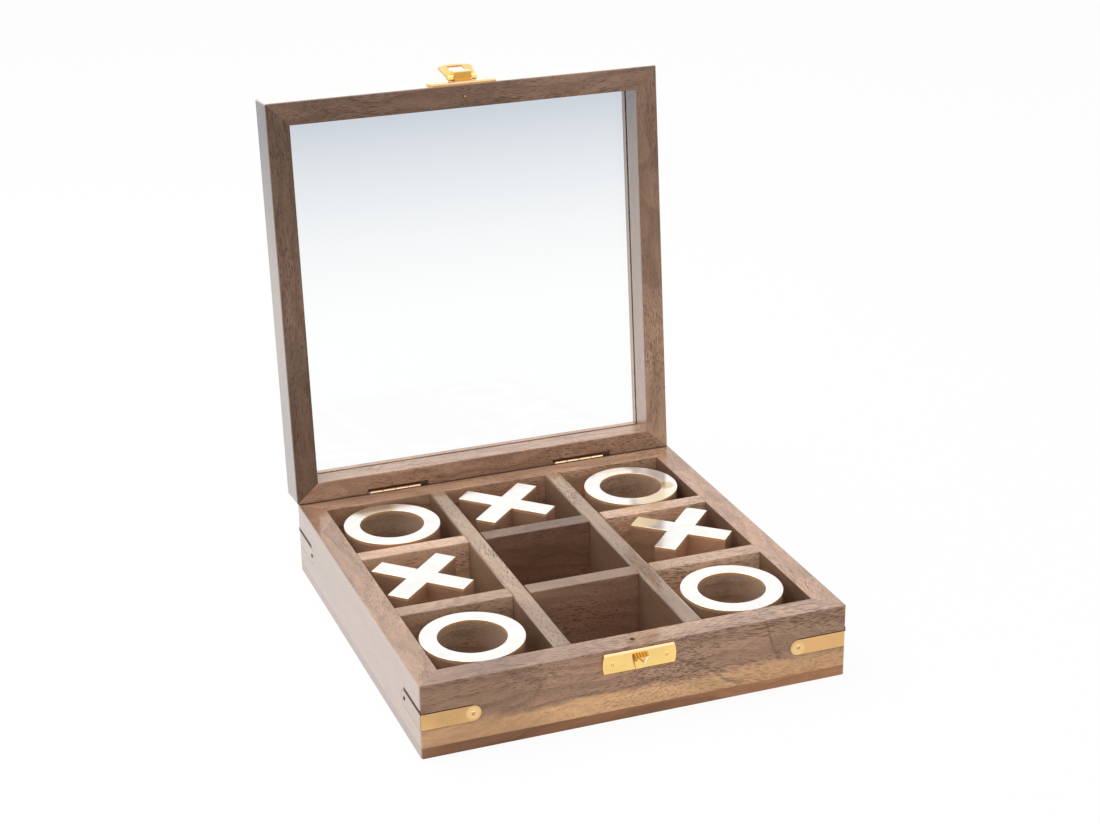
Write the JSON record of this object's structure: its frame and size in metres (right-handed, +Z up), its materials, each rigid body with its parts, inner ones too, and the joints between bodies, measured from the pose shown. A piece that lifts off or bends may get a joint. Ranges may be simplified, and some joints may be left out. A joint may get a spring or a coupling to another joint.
{
  "type": "tic-tac-toe box",
  "caption": "Square wooden tic-tac-toe box: a tray of cells holding brass-capped rings and crosses that lift out, under a hinged glass lid closed by a hasp.",
  "frame": {"origin": "centre of the box's underside, on the table", "axes": "+X to the right seen from the catch side, +Y towards the hinges, +Z up"},
  "size_m": [0.1806, 0.2192, 0.216],
  "materials": {
    "wood": "lacquered",
    "panel_wood": "lacquered",
    "piece_wood": "lacquered",
    "brass": "satin",
    "cap_brass": "polished",
    "glass": "clear"
  },
  "bodies": {
    "base": {"wall_front": "wood", "wall_back": "wood", "wall_left": "wood", "wall_right": "wood", "bottom_panel": "panel_wood", "long_divider_left": "wood", "long_divider_right": "wood", "cross_divider_rear": "wood", "cross_divider_front": "wood", "corner_bracket_front_left": "brass", "corner_bracket_front_right": "brass", "corner_bracket_back_left": "brass", "corner_bracket_back_right": "brass", "bracket_pins": "brass", "catch_plate": "brass", "catch_plate_pins": "brass", "hinge_leaf_base_left": "brass", "hinge_leaf_base_right": "brass", "hinge_pin_left": "brass", "hinge_pin_right": "brass", "hinge_screws_base": "brass"},
    "lid": {"hinge_leaf_lid_left": "brass", "hinge_leaf_lid_right": "brass", "hinge_screws_lid": "brass", "lid_rail_front": "wood", "lid_rail_hinge": "wood", "lid_stile_left": "wood", "lid_stile_right": "wood", "glass_pane": "glass", "locating_pin": "brass", "hasp_plate": "brass", "hasp_plate_pins": "brass", "hasp_pin": "brass"},
    "hasp": {"hasp_flap": "brass"},
    "ring_back_left": {"ring_body_back_left": "piece_wood", "ring_cap_back_left": "cap_brass"},
    "ring_back_right": {"ring_body_back_right": "piece_wood", "ring_cap_back_right": "cap_brass"},
    "ring_front_left": {"ring_body_front_left": "piece_wood", "ring_cap_front_left": "cap_brass"},
    "ring_front_right": {"ring_body_front_right": "piece_wood", "ring_cap_front_right": "cap_brass"},
    "cross_left": {"cross_body_left": "piece_wood", "cross_cap_left": "cap_brass"},
    "cross_back": {"cross_body_back": "piece_wood", "cross_cap_back": "cap_brass"},
    "cross_right": {"cross_body_right": "piece_wood", "cross_cap_right": "cap_brass"}
  },
  "joints": [
    {"name": "lid_hinge", "type": "hinge", "parent": "base", "child": "lid", "pos_m": [0, 0.09, 0.0311], "axis": [-1, 0, 0], "range_deg": [-95, 0]},
    {"name": "hasp_hinge", "type": "hinge", "parent": "lid", "child": "hasp", "pos_m": [-0.0006, 0.11031, 0.21272], "axis": [-1, 0, 0], "range_deg": [-161, 0]},
    {"name": "ring_back_left_lift", "type": "slide", "parent": "base", "child": "ring_back_left", "axis": [0, 0, 1], "range_m": [0, 0.06]},
    {"name": "ring_back_right_lift", "type": "slide", "parent": "base", "child": "ring_back_right", "axis": [0, 0, 1], "range_m": [0, 0.06]},
    {"name": "ring_front_left_lift", "type": "slide", "parent": "base", "child": "ring_front_left", "axis": [0, 0, 1], "range_m": [0, 0.06]},
    {"name": "ring_front_right_lift", "type": "slide", "parent": "base", "child": "ring_front_right", "axis": [0, 0, 1], "range_m": [0, 0.06]},
    {"name": "cross_left_lift", "type": "slide", "parent": "base", "child": "cross_left", "axis": [0, 0, 1], "range_m": [0, 0.06]},
    {"name": "cross_back_lift", "type": "slide", "parent": "base", "child": "cross_back", "axis": [0, 0, 1], "range_m": [0, 0.06]},
    {"name": "cross_right_lift", "type": "slide", "parent": "base", "child": "cross_right", "axis": [0, 0, 1], "range_m": [0, 0.06]}
  ]
}
